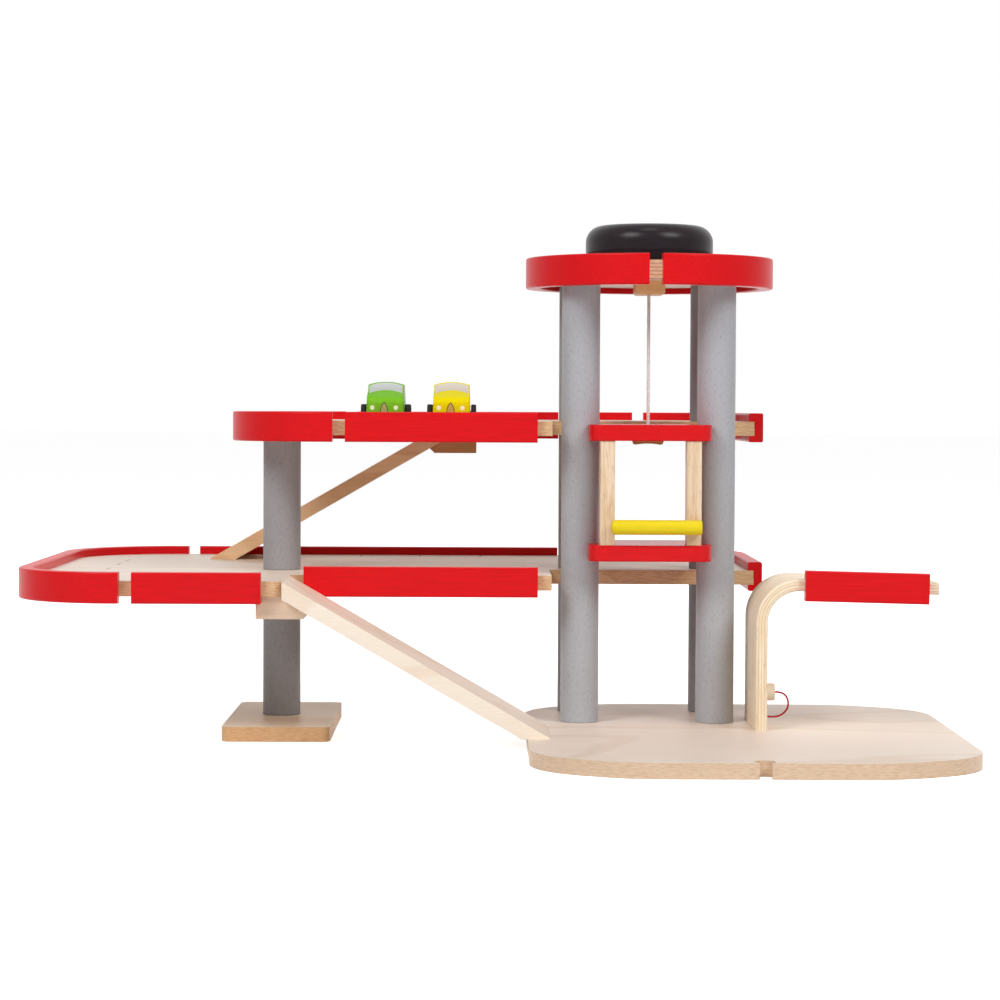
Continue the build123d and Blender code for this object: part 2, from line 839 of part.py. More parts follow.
for name, x in {"green_car": green_car_x, "yellow_car": yellow_car_x}.items():
    save(f"{name}_body", car_body(x))
    save(f"{name}_front_wheels", wheel_set(x, car_front + front_axle_in))
    save(f"{name}_rear_wheels", wheel_set(x, car_front + car_length - rear_axle_in))
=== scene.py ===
import math
import bmesh
import bpy
from mathutils import Matrix, Vector


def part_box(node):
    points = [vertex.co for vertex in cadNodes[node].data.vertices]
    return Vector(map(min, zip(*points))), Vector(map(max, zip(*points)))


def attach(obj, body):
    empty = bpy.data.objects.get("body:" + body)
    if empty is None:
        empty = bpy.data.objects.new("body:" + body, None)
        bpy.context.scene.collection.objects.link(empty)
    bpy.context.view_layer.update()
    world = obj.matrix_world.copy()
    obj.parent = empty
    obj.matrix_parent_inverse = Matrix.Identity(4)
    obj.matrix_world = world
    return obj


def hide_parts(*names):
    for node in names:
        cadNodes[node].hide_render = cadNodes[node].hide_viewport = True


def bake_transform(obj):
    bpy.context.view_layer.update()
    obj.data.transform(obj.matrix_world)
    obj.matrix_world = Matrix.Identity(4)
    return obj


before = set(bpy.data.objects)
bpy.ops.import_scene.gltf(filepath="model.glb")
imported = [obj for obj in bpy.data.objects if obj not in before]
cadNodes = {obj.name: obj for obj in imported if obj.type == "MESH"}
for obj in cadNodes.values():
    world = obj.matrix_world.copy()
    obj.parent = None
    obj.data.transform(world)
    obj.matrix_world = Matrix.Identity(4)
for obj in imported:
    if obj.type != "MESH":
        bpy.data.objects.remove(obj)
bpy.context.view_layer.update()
scene = bpy.context.scene
mm = 0.001
white = (1.0, 1.0, 1.0, 1.0)


# camera, seen from the front and a little above
cameraView = {
    "place": (-0.1455, -2.5, 0.2928),
    "turnRight": 0.308,  # in degrees, as are the tilt and the roll
    "tiltDown": 1.879,
    "roll": 0.2515,
    "lens": 100.9,
    "sensor": 36,
    "farthest": 60,
}


def addCamera(s):
    data = bpy.data.cameras.new("frontCamera")
    data.sensor_width = s["sensor"]
    data.lens = s["lens"]
    data.clip_end = s["farthest"]
    camera = bpy.data.objects.new("frontCamera", data)
    scene.collection.objects.link(camera)
    turn = Matrix.Rotation(math.radians(-s["turnRight"]), 4, "Z")
    tilt = Matrix.Rotation(math.radians(90 - s["tiltDown"]), 4, "X")
    roll = Matrix.Rotation(math.radians(s["roll"]), 4, "Z")
    camera.matrix_world = Matrix.Translation(s["place"]) @ turn @ tilt @ roll
    scene.camera = camera


addCamera(cameraView)
scene.view_settings.view_transform = "Standard"
print("camera ready")


# small helpers for sums in a material
def newMaterial(name):
    material = bpy.data.materials.new(name)
    material.use_nodes = True
    return material, material.node_tree, material.node_tree.nodes["Principled BSDF"]


def feed(tree, socket, value):
    if isinstance(value, bpy.types.NodeSocket):
        tree.links.new(value, socket)
    else:
        socket.default_value = value


def calc(tree, operation, first, second=0.0, third=0.0, clamp=False):
    node = tree.nodes.new("ShaderNodeMath")
    node.operation = operation
    node.use_clamp = clamp
    for socket, value in zip(node.inputs, (first, second, third)):
        feed(tree, socket, value)
    return node.outputs[0]


def plus(tree, first, second):
    return calc(tree, "ADD", first, second)


def minus(tree, first, second):
    return calc(tree, "SUBTRACT", first, second)


def times(tree, first, *others):
    product = first
    for other in others:
        product = calc(tree, "MULTIPLY", product, other)
    return product


def absolute(tree, value):
    return calc(tree, "ABSOLUTE", value)


def largest(tree, first, second):
    return calc(tree, "MAXIMUM", first, second)


def distance(tree, first, second):
    return calc(tree, "SQRT", plus(tree, times(tree, first, first), times(tree, second, second)))


def smoothStep(tree, value, low, high):
    node = tree.nodes.new("ShaderNodeMapRange")
    node.interpolation_type = "SMOOTHSTEP"
    for name, number in (("Value", value), ("From Min", low), ("From Max", high)):
        feed(tree, node.inputs[name], number)
    return node.outputs[0]


def within(tree, reach, limit, soft):  # 1 up to the limit, then down to 0
    return smoothStep(tree, reach, limit + soft, limit)


def beyond(tree, value, edge, soft):  # 0 up to the edge, then up to 1
    return smoothStep(tree, minus(tree, value, edge), 0.0, soft)


# small helpers for colours, places and patterns
mixSockets = {"share": 0, "first": 6, "second": 7, "result": 2}  # of a mix node set to colours
facingLimit = 0.5  # a face looks along an axis where its normal has more than this share of it
bevelSamples = 4


def rgb(red, green, blue):  # from the colours of a screen to linear ones
    def linear(part):
        share = part / 255
        return share / 12.92 if share <= 0.04045 else ((share + 0.055) / 1.055) ** 2.4
    return linear(red), linear(green), linear(blue), 1.0


def mixColour(tree, share, first, second):
    node = tree.nodes.new("ShaderNodeMix")
    node.data_type = "RGBA"
    for name, value in (("share", share), ("first", first), ("second", second)):
        feed(tree, node.inputs[mixSockets[name]], value)
    return node.outputs[mixSockets["result"]]


def objectPlace(tree):
    return tree.nodes.new("ShaderNodeTexCoord").outputs["Object"]


def splitPlace(tree, place):
    node = tree.nodes.new("ShaderNodeSeparateXYZ")
    tree.links.new(place, node.inputs[0])
    return node.outputs


def normalPart(tree, axis, kind="True Normal"):
    normal = tree.nodes.new("ShaderNodeNewGeometry").outputs[kind]
    return splitPlace(tree, normal)[axis]


def scaledPlace(tree, place, scale):
    node = tree.nodes.new("ShaderNodeVectorMath")
    node.operation = "MULTIPLY"
    tree.links.new(place, node.inputs[0])
    node.inputs[1].default_value = scale
    return node.outputs[0]


def noise(tree, place, scale, detail, distortion=0.0):
    node = tree.nodes.new("ShaderNodeTexNoise")
    tree.links.new(place, node.inputs["Vector"])
    node.inputs["Scale"].default_value = scale
    node.inputs["Detail"].default_value = detail
    node.inputs["Distortion"].default_value = distortion
    return node.outputs["Fac"]


def finishSurface(tree, shader, colour, height, s):
    tree.links.new(colour, shader.inputs["Base Color"])
    shader.inputs["Roughness"].default_value = s["roughness"]
    shader.inputs["Specular IOR Level"].default_value = s["specular"]
    bump = tree.nodes.new("ShaderNodeBump")
    bump.inputs["Strength"].default_value = s["bumpStrength"]
    bump.inputs["Distance"].default_value = s["bumpDepth"]
    tree.links.new(height, bump.inputs["Height"])
    if s["edgeRound"]:
        edge = tree.nodes.new("ShaderNodeBevel")
        edge.samples = bevelSamples
        edge.inputs["Radius"].default_value = s["edgeRound"]
        tree.links.new(edge.outputs[0], bump.inputs["Normal"])
    tree.links.new(bump.outputs[0], shader.inputs["Normal"])


# how deep a place lies in a bent board, measured from its outer side
def bendDepth(tree, x, z, s):
    left = largest(tree, minus(tree, s["bendX"], x), 0.0)
    above = largest(tree, minus(tree, z, s["bendZ"]), 0.0)
    return minus(tree, s["outerRadius"], distance(tree, left, above))


# the grain of a bent board follows the bend: its place is depth, across and along
def grainPlace(tree, s):
    if "bendX" not in s:
        return objectPlace(tree)
    x, y, z = splitPlace(tree, objectPlace(tree))
    node = tree.nodes.new("ShaderNodeCombineXYZ")
    for socket, value in zip(node.inputs, (bendDepth(tree, x, z, s), y, plus(tree, x, z))):
        feed(tree, socket, value)
    return node.outputs[0]


# noise drawn out along the grain, for one feature: a wood's rings, fibres or pores, or a rope's yarns
def grainNoise(tree, s, feature):
    scale = tuple(1 / s[feature + "Stretch"] if axis == s["grain"] else 1.0 for axis in "XYZ")
    place = scaledPlace(tree, grainPlace(tree, s), scale)
    return noise(tree, place, s[feature + "Scale"], s[feature + "Detail"], s.get(feature + "Bend", 0.0))


def fibrePattern(tree, s):
    return smoothStep(tree, grainNoise(tree, s, "fibre"), s["fibreLow"], s["fibreHigh"])


# wood: growth rings as wavy bands, fibres along the grain, and broad clouds
def woodColour(tree, fibres, s):
    turns = times(tree, grainNoise(tree, s, "ring"), s["ringCount"] * math.tau)
    bands = smoothStep(tree, calc(tree, "SINE", turns), s["ringLow"], 1.0)
    clouds = noise(tree, grainPlace(tree, s), s["cloudScale"], s["cloudDetail"])
    share = times(tree, bands, s["ringShare"])
    share = calc(tree, "MULTIPLY_ADD", fibres, s["fibreShare"], share)
    share = calc(tree, "MULTIPLY_ADD", clouds, s["cloudShare"], share, clamp=True)
    return mixColour(tree, share, s["light"], s["dark"])


# plywood: how much of the glue's colour shows at a depth in the board
layerMiddle = 0.5


def glueLines(tree, depth, s):
    layer = calc(tree, "DIVIDE", depth, s["thickness"] / s["layers"])
    if "wobble" in s:
        drift = noise(tree, objectPlace(tree), s["wobbleScale"], s["wobbleDetail"])
        layer = calc(tree, "MULTIPLY_ADD", drift, s["wobble"], layer)
    fromMiddle = absolute(tree, minus(tree, calc(tree, "FRACT", layer), layerMiddle))
    return times(tree, smoothStep(tree, fromMiddle, s["glueFrom"], layerMiddle), s["glueShare"])


# a board's edges are darker than its faces and have flat streaks, and layers if it is plywood
edgeStreaks = {"squash": (0.12, 0.12, 1.0), "detail": 6.0, "low": 0.3, "high": 0.75}


def edgeGrain(tree, colour, s):
    place = scaledPlace(tree, objectPlace(tree), edgeStreaks["squash"])
    streaks = noise(tree, place, s["edgeScale"], edgeStreaks["detail"])
    streaks = smoothStep(tree, streaks, edgeStreaks["low"], edgeStreaks["high"])
    tint = mixColour(tree, streaks, s["edgeLight"], s["edgeDark"])
    if "layersFrom" in s:
        height = minus(tree, splitPlace(tree, objectPlace(tree))["Z"], s["layersFrom"])
        tint = mixColour(tree, glueLines(tree, height, s), tint, s["glueColour"])
    upright = calc(tree, "LESS_THAN", absolute(tree, normalPart(tree, "Z")), facingLimit)
    return mixColour(tree, upright, colour, tint)


# short dark dashes where open pores are cut along the grain
def openPores(tree, colour, s):
    pores = smoothStep(tree, grainNoise(tree, s, "pore"), s["poreEdge"], s["poreEdge"] + s["poreSoft"])
    return mixColour(tree, times(tree, pores, s["poreShare"]), colour, s["poreColour"])


# layers of bent plywood, seen on its front and rear edges
def bentLayers(tree, colour, s):
    place = splitPlace(tree, objectPlace(tree))
    onEdge = calc(tree, "GREATER_THAN", absolute(tree, normalPart(tree, "Y")), facingLimit)
    lines = glueLines(tree, bendDepth(tree, place["X"], place["Z"], s), s)
    return mixColour(tree, times(tree, lines, onEdge), colour, s["glueColour"])


def woodMaterial(name, s):
    material, tree, shader = newMaterial(name)
    fibres = fibrePattern(tree, s)
    colour = woodColour(tree, fibres, s)
    if "edgeLight" in s:
        colour = edgeGrain(tree, colour, s)
    if "poreShare" in s:
        colour = openPores(tree, colour, s)
    if "bendX" in s:
        colour = bentLayers(tree, colour, s)
    finishSurface(tree, shader, colour, fibres, s)
    return material


boardWood = {
    "light": rgb(238, 224, 210), "dark": rgb(220, 196, 172), "grain": "X",
    "ringStretch": 3.2, "ringScale": 3.6, "ringDetail": 2.0, "ringBend": 0.3,
    "ringCount": 5, "ringShare": 0.3, "ringLow": -0.2,
    "fibreStretch": 30.0, "fibreScale": 1100.0, "fibreDetail": 6.0,
    "fibreLow": 0.35, "fibreHigh": 0.7, "fibreShare": 0.2,
    "cloudScale": 14.0, "cloudDetail": 2.0, "cloudShare": 0.22,
    "roughness": 0.42, "specular": 0.4,
    "bumpDepth": 0.2 * mm, "bumpStrength": 0.25, "edgeRound": 0.8 * mm,
}
baseWood = dict(boardWood, light=rgb(242, 229, 216), ringLow=0.8, ringCount=6, ringShare=0.34,
                ringStretch=2.2, fibreShare=0.26,
                edgeLight=rgb(230, 203, 176), edgeDark=rgb(210, 176, 142), edgeScale=1300.0)
deckWood = dict(baseWood, light=rgb(238, 224, 210),
                edgeLight=rgb(228, 194, 152), edgeDark=rgb(204, 158, 112))
platformWood = dict(deckWood, edgeLight=rgb(250, 226, 190), edgeDark=rgb(226, 190, 144),
                    layers=5, glueColour=rgb(160, 108, 62), glueShare=0.7, glueFrom=0.3)
# the foot plate's wood is paler than the other boards, partly its own pale wood and partly painted light
# for the sheen on its shaded top
footWoodPaintedLight = dict(boardWood, light=rgb(255, 246, 226), dark=rgb(250, 216, 182), ringShare=0.2,
                fibreShare=0.5, fibreStretch=8.0,
                edgeLight=rgb(232, 188, 140), edgeDark=rgb(212, 160, 110), edgeScale=1200.0)
# tanWood's own two colours, kept only by the rear block and the rope anchor, are partly the wood's tan
# and partly painted shade with a painted red reflection: darker and more orange than the wood
tanWood = dict(boardWood, light=rgb(208, 142, 88), dark=rgb(174, 106, 58), ringScale=16.0, ringShare=0.35)
paleBlock = dict(tanWood, light=rgb(242, 216, 190), dark=rgb(214, 180, 148))
guideWood = dict(tanWood, light=rgb(238, 188, 132), dark=rgb(208, 150, 94))
tanRamp = dict(tanWood, light=rgb(255, 218, 174), dark=rgb(226, 174, 126), specular=0.2)
rampWood = dict(boardWood, light=rgb(252, 240, 224), dark=rgb(234, 206, 178), ringScale=12.0, ringLow=0.2)
nozzleWood = dict(boardWood, light=rgb(250, 244, 228), dark=rgb(230, 214, 192), specular=0.2)
postWood = dict(boardWood, light=rgb(245, 224, 198), dark=rgb(214, 176, 132), grain="Z",
                ringScale=60.0, ringStretch=14.0, ringCount=4, ringShare=0.35,
                fibreScale=1000.0, fibreShare=0.4,
                poreScale=1500.0, poreStretch=20.0, poreDetail=2.0, poreEdge=0.6, poreSoft=0.06,
                poreShare=0.45, poreColour=rgb(176, 124, 78))
canopyWood = dict(postWood, light=rgb(255, 244, 220), dark=rgb(238, 206, 164),
                  fibreShare=0.2, poreShare=0.3, specular=0.2,
                  layers=4, glueColour=rgb(176, 128, 84), glueShare=0.5, glueFrom=0.32,
                  wobble=0.25, wobbleScale=60.0, wobbleDetail=2.0)
plainWoods = {
    "baseBoard": (baseWood, ["base_board"]),
    "upperDeck": (deckWood, ["upper_deck"]),
    "footBoardPaintedLight": (footWoodPaintedLight, ["foot_plate"]),
    "rearBlockPaintedShade": (tanWood, ["ramp_block_upper", "rope_anchor"]),
    "frontBlock": (paleBlock, ["ramp_block_lower"]),
    "guideBlock": (guideWood, ["rope_guide_block"]),
    "frontRamp": (rampWood, ["ramp_lower"]),
    "rearRamp": (tanRamp, ["ramp_upper"]),
    "posts": (postWood, ["lift_posts", "column_dowels", "winch_spool", "barrier_pin"]),
    "nozzle": (nozzleWood, ["fuel_nozzle"]),
}


def dress(names, material):
    for name in names:
        slots = cadNodes[name].material_slots
        if not slots:
            cadNodes[name].data.materials.append(material)
        for slot in slots:
            slot.material = material


for name, (settings, names) in plainWoods.items():
    dress(names, woodMaterial(name, settings))

# the platform's plywood layers lie flat between its faces
platformLow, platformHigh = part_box("top_platform")
flatLayers = {"layersFrom": platformLow.z, "thickness": platformHigh.z - platformLow.z}
dress(["top_platform"], woodMaterial("platformPlywood", dict(platformWood, **flatLayers)))

# the canopy's layers follow its bend, whose centre comes from the node's box
canopyLow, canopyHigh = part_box("canopy_board")
bend = {"outerRadius": 38.2 * mm, "thickness": 10.4 * mm}
bend["bendX"] = canopyLow.x + bend["outerRadius"]
bend["bendZ"] = canopyHigh.z - bend["outerRadius"]
dress(["canopy_board"], woodMaterial("canopyPlywood", dict(canopyWood, **bend)))


# plain road lines on the lower deck: a dashed middle line and the ends of parking bays
roadLines = {
    "middleX": -488 * mm, "dashes": [49 * mm, 124 * mm, 188 * mm], "dashHalf": 16 * mm,
    "bays": [-268.5 * mm, -210 * mm, -150 * mm], "bayMiddle": 292 * mm, "bayHalf": 11 * mm,
    "lineHalf": 0.9 * mm, "soft": 0.3 * mm, "colour": rgb(180, 152, 128),
}


def roadLine(tree, s, spotX, spotY, half):
    place = splitPlace(tree, objectPlace(tree))
    across = within(tree, absolute(tree, minus(tree, place["X"], spotX)), s["lineHalf"], s["soft"])
    along = within(tree, absolute(tree, minus(tree, place["Y"], spotY)), half, s["soft"])
    return times(tree, across, along)


def linedDeck(name, wood, s):
    material = woodMaterial(name, wood)
    tree = material.node_tree
    shader = tree.nodes["Principled BSDF"]
    colour = shader.inputs["Base Color"].links[0].from_socket
    lines = [roadLine(tree, s, s["middleX"], spotY, s["dashHalf"]) for spotY in s["dashes"]]
    lines += [roadLine(tree, s, spotX, s["bayMiddle"], s["bayHalf"]) for spotX in s["bays"]]
    share = 0.0
    for line in lines:
        share = largest(tree, line, share)
    onTop = calc(tree, "GREATER_THAN", normalPart(tree, "Z"), facingLimit)
    lined = mixColour(tree, times(tree, share, onTop), colour, s["colour"])
    tree.links.new(lined, shader.inputs["Base Color"])
    return material


dress(["lower_deck"], linedDeck("linedDeck", deckWood, roadLines))


# paint or stain over wood: one colour, a little darker along the fibres
def fibreTint(tree, fibres, s):
    return mixColour(tree, times(tree, fibres, s["fibreShare"]), s["light"], s["dark"])


def paintMaterial(name, s):
    material, tree, shader = newMaterial(name)
    fibres = fibrePattern(tree, s)
    finishSurface(tree, shader, fibreTint(tree, fibres, s), fibres, s)
    return material


redPaint = {
    "light": rgb(224, 20, 27), "dark": rgb(200, 14, 22), "grain": "X",
    "fibreStretch": 18.0, "fibreScale": 700.0, "fibreDetail": 5.0,
    "fibreLow": 0.3, "fibreHigh": 0.75, "fibreShare": 0.5,
    "roughness": 0.3, "specular": 0.13,
    "bumpDepth": 0.2 * mm, "bumpStrength": 0.15, "edgeRound": 0.9 * mm,
}
sidePaint = dict(redPaint, grain="Y")
liftPaint = dict(redPaint, light=rgb(224, 14, 22), specular=0.19, roughness=0.24, edgeRound=2.4 * mm)
greyStain = dict(redPaint, light=rgb(178, 180, 185), dark=rgb(130, 127, 130), grain="Z",
                 fibreStretch=8.0, fibreScale=2300.0, fibreLow=0.54, fibreHigh=0.72, fibreShare=0.75,
                 roughness=0.5, specular=0.2, bumpStrength=0.25, edgeRound=0.4 * mm)
# the rear columns' stain is darker than the front columns' as painted shade, for the shade of the front
# columns and the platform
rearStainPaintedShade = dict(greyStain, light=rgb(152, 153, 157), dark=rgb(110, 107, 110))
# the foot columns' stain is a little darker than the front columns' as painted shade, for the shade under
# the decks
footStainPaintedShade = dict(greyStain, light=rgb(162, 161, 164), dark=rgb(118, 114, 116))
blackPaint = dict(redPaint, light=rgb(32, 21, 28), dark=rgb(20, 11, 16), fibreStretch=10.0,
                  fibreScale=260.0, fibreShare=0.8, roughness=0.28, specular=0.2, bumpStrength=0.2)
tyreBlack = dict(blackPaint, light=rgb(50, 44, 48), dark=rgb(30, 26, 30), roughness=0.6)
yellowPaint = dict(redPaint, light=rgb(238, 215, 30), dark=rgb(228, 200, 26), specular=0.2)

# rails take their grain from the way they run
sideRails = [deck + "_rail_" + side + "_end" for deck in ("lower", "upper") for side in ("left", "right")]
redNodes = [name for name in cadNodes if "_rail_" in name or "_rim_" in name]
painted = {
    "frontColumns": (greyStain, ["front_column_left", "front_column_right"]),
    "rearColumnsPaintedShade": (rearStainPaintedShade, ["rear_columns_lower", "rear_columns_middle", "rear_columns_upper"]),
    "footColumnsPaintedShade": (footStainPaintedShade, ["foot_column_lower", "foot_column_upper"]),
    "blackKnob": (blackPaint, ["winding_knob"]),
    "yellowBar": (yellowPaint, ["barrier_bar"]),
    "redRailsAlong": (redPaint, [name for name in redNodes if name not in sideRails] + ["canopy_rails"]),
    "redRailsAcross": (sidePaint, sideRails),
    "liftRed": (liftPaint, ["lift_roof", "lift_floor"]),
    "tyres": (tyreBlack, [name for name in cadNodes if name.endswith("_wheels")]),
}
for name, (settings, names) in painted.items():
    dress(names, paintMaterial(name, settings))
print("wood and paint ready")


# cars: painted body with a pale windscreen, side windows, two lamps and an arched grille
carPaint = {
    "deck": 281.3 * mm,  # heights are measured from here
    "glassHalfWidth": 14.9 * mm, "glassTop": 33.9 * mm, "glassLow": 24.2 * mm, "glassArch": 2.7 * mm,
    "windowLow": 17.5 * mm, "windowHigh": 31.0 * mm, "windowMiddle": 18.5 * mm, "windowHalf": 17.0 * mm,
    "pillarHalf": 1.3 * mm,
    "dotPitch": 1.9 * mm, "dotLow": 0.1, "dotHigh": 0.5, "dotShare": 0.6, "dotColour": rgb(246, 246, 244),
    "faceShift": -0.8 * mm,  # lamps and grille sit a little to the left
    "lampSide": 10.4 * mm, "lampHeight": 11.4 * mm, "lampRadius": 1.9 * mm,
    "grilleHalf": 3.6 * mm, "grilleTop": 15.0 * mm, "grilleRadius": 12.0 * mm, "outlineWidth": 0.75 * mm,
    "soft": 0.25 * mm, "frontLimit": -0.2, "flankLimit": 0.6,
    "grain": "Y", "fibreStretch": 12.5, "fibreScale": 800.0, "fibreDetail": 4.0,
    "fibreLow": 0.3, "fibreHigh": 0.7, "fibreShare": 0.4,
    "roughness": 0.35, "specular": 0.02,
    "bumpDepth": 0.1 * mm, "bumpStrength": 0.15, "edgeRound": 3.0 * mm,
}
carColours = {
    "green_car_body": {
        "middle": -234.1 * mm, "light": rgb(126, 194, 44), "dark": rgb(106, 174, 44),
        "glass": rgb(188, 192, 188), "lamp": rgb(240, 255, 206),
        "grille": rgb(176, 170, 108), "outline": rgb(80, 90, 50),
    },
    "yellow_car_body": {
        "middle": -175.4 * mm, "light": rgb(236, 220, 12), "dark": rgb(226, 202, 12),
        "glass": rgb(206, 196, 180), "lamp": rgb(255, 255, 212),
        "grille": rgb(204, 172, 92), "outline": rgb(108, 84, 48),
    },
}


# a place on the car, and whether its face looks to the front or to a side
def carPlace(tree, s):
    x, y, z = splitPlace(tree, objectPlace(tree))
    across = minus(tree, x, s["middle"])
    sideNormal = absolute(tree, normalPart(tree, "X", "Normal"))
    return {
        "places": (x, y, z), "along": y, "height": minus(tree, z, s["deck"]),
        "side": absolute(tree, across), "faceSide": absolute(tree, minus(tree, across, s["faceShift"])),
        "front": calc(tree, "LESS_THAN", normalPart(tree, "Y", "Normal"), s["frontLimit"]),
        "flank": calc(tree, "GREATER_THAN", sideNormal, s["flankLimit"]),
    }


# the windscreen lies between two arches, highest in the middle
def windscreen(tree, at, s):
    sideShare = calc(tree, "DIVIDE", at["side"], s["glassHalfWidth"])
    curve = times(tree, sideShare, sideShare)
    lowEdge = calc(tree, "MULTIPLY_ADD", curve, -s["glassArch"], s["glassLow"] + s["glassArch"])
    highEdge = calc(tree, "MULTIPLY_ADD", curve, -s["glassArch"], s["glassTop"])
    above = beyond(tree, at["height"], lowEdge, s["soft"])
    below = beyond(tree, highEdge, at["height"], s["soft"])
    between = beyond(tree, s["glassHalfWidth"], at["side"], s["soft"])
    return times(tree, above, below, between, at["front"])


# a window each side of a pillar, in both flanks
def sideWindows(tree, at, s):
    fromPillar = absolute(tree, minus(tree, at["along"], s["windowMiddle"]))
    above = beyond(tree, at["height"], s["windowLow"], s["soft"])
    below = beyond(tree, s["windowHigh"], at["height"], s["soft"])
    between = beyond(tree, s["windowHalf"], fromPillar, s["soft"])
    beside = beyond(tree, fromPillar, s["pillarHalf"], s["soft"])
    return times(tree, above, below, between, beside, at["flank"])


# a fine dotted pattern lies over the glass
def glassDots(tree, at, s):
    waves = [calc(tree, "SINE", times(tree, place, math.tau / s["dotPitch"])) for place in at["places"]]
    dots = times(tree, plus(tree, waves[0], waves[1]), waves[2])
    return times(tree, smoothStep(tree, dots, s["dotLow"], s["dotHigh"]), s["dotShare"])


def carLamps(tree, at, s):
    fromLamp = distance(tree, minus(tree, at["faceSide"], s["lampSide"]),
                        minus(tree, at["height"], s["lampHeight"]))
    return times(tree, within(tree, fromLamp, s["lampRadius"], s["soft"]), at["front"])


# the grille is where two circles cross, and a margin makes it smaller
def carGrille(tree, at, s, margin):
    fromCentre = plus(tree, at["faceSide"], s["grilleRadius"] - s["grilleHalf"])
    rise = largest(tree, minus(tree, at["height"], s["grilleTop"] - 2 * s["grilleHalf"]), 0.0)
    reach = distance(tree, fromCentre, rise)
    return times(tree, within(tree, reach, s["grilleRadius"] - margin, s["soft"]), at["front"])


def carMaterial(name, s):
    material, tree, shader = newMaterial(name)
    at = carPlace(tree, s)
    fibres = fibrePattern(tree, s)
    glass = windscreen(tree, at, s)
    windows = sideWindows(tree, at, s)
    dots = times(tree, largest(tree, glass, windows), glassDots(tree, at, s))
    layers = [
        (glass, s["glass"]), (windows, s["glass"]), (dots, s["dotColour"]),
        (carLamps(tree, at, s), s["lamp"]),
        (carGrille(tree, at, s, 0.0), s["outline"]),
        (carGrille(tree, at, s, s["outlineWidth"]), s["grille"]),
    ]
    colour = fibreTint(tree, fibres, s)
    for share, paint in layers:
        colour = mixColour(tree, share, colour, paint)
    finishSurface(tree, shader, colour, fibres, s)
    return material


for name, colours in carColours.items():
    dress([name], carMaterial(name + "_paint", dict(carPaint, **colours)))
print("cars ready")


# curves that ropes and cord follow
splineOrder = 3
tiny = 1e-9


def addSpline(curve, points, resolution):
    curve.dimensions = "3D"
    spline = curve.splines.new("NURBS")
    spline.points.add(len(points) - 1)
    for point, place in zip(spline.points, points):
        point.co = (*place, 1.0)
    spline.order_u = splineOrder
    spline.use_endpoint_u = True
    spline.resolution_u = resolution


def routePoints(points, name, resolution):
    curve = bpy.data.curves.new(name, "CURVE")
    addSpline(curve, points, resolution)
    carrier = bpy.data.objects.new(name, curve)
    mesh = bpy.data.meshes.new_from_object(carrier)
    places = [vertex.co.copy() for vertex in mesh.vertices]
    bpy.data.objects.remove(carrier)
    bpy.data.curves.remove(curve)
    bpy.data.meshes.remove(mesh)
    return places


def evenSteps(places, step):
    lengths = [0.0]
    for before, after in zip(places, places[1:]):
        lengths.append(lengths[-1] + (after - before).length)
    count = max(2, round(lengths[-1] / step))
    found = []
    leg = 0
    for i in range(count + 1):
        want = lengths[-1] * i / count
        while leg < len(lengths) - 2 and lengths[leg + 1] < want:
            leg += 1
        share = (want - lengths[leg]) / max(lengths[leg + 1] - lengths[leg], tiny)
        found.append(places[leg].lerp(places[leg + 1], min(max(share, 0.0), 1.0)))
    return found, lengths[-1]


# each place with two directions across the route, carried along it without twist
def carriedFrames(places):
    heading = (places[1] - places[0]).normalized()
    side = heading.orthogonal().normalized()
    frames = []
    for i, place in enumerate(places):
        ahead = (places[min(i + 1, len(places) - 1)] - places[max(i - 1, 0)]).normalized()
        side = heading.rotation_difference(ahead) @ side
        side = (side - ahead * side.dot(ahead)).normalized()
        heading = ahead
        frames.append((place, side, ahead.cross(side)))
    return frames


def roundPlace(place, side, over, angle, radius):
    return place + (side * math.cos(angle) + over * math.sin(angle)) * radius


# ropes: three strands laid round each other along a route
ropeStyle = {
    "strandRadius": 0.82 * mm, "layRadius": 0.76 * mm, "layLength": 6.2 * mm, "stepsPerTurn": 12,
    "sides": 8, "strands": 3,
    "light": rgb(248, 248, 244), "dark": rgb(204, 202, 198), "grain": "Z",
    "yarnStretch": 10 / 3, "yarnScale": 2600.0, "yarnDetail": 4.0, "yarnLow": 0.35, "yarnHigh": 0.65,
    "roughness": 0.9, "specular": 0.5, "sheen": 0.2,
    "bumpDepth": 0.2 * mm, "bumpStrength": 0.5, "edgeRound": 0.0,
}


def ropeMaterial(name, s):
    material, tree, shader = newMaterial(name)
    yarns = grainNoise(tree, s, "yarn")
    share = smoothStep(tree, yarns, s["yarnLow"], s["yarnHigh"])
    finishSurface(tree, shader, mixColour(tree, share, s["light"], s["dark"]), yarns, s)
    shader.inputs["Sheen Weight"].default_value = s["sheen"]
    return material


def strandTube(mesh, centres, radius, sides):
    turns = [math.tau * k / sides for k in range(sides)]
    rings = []
    for place, side, over in carriedFrames(centres):
        rings.append([mesh.verts.new(roundPlace(place, side, over, turn, radius)) for turn in turns])
    for ring, ahead in zip(rings, rings[1:]):
        for k in range(sides):
            after = (k + 1) % sides
            mesh.faces.new((ring[k], ring[after], ahead[after], ahead[k]))
    mesh.faces.new(rings[0][::-1])
    mesh.faces.new(rings[-1])


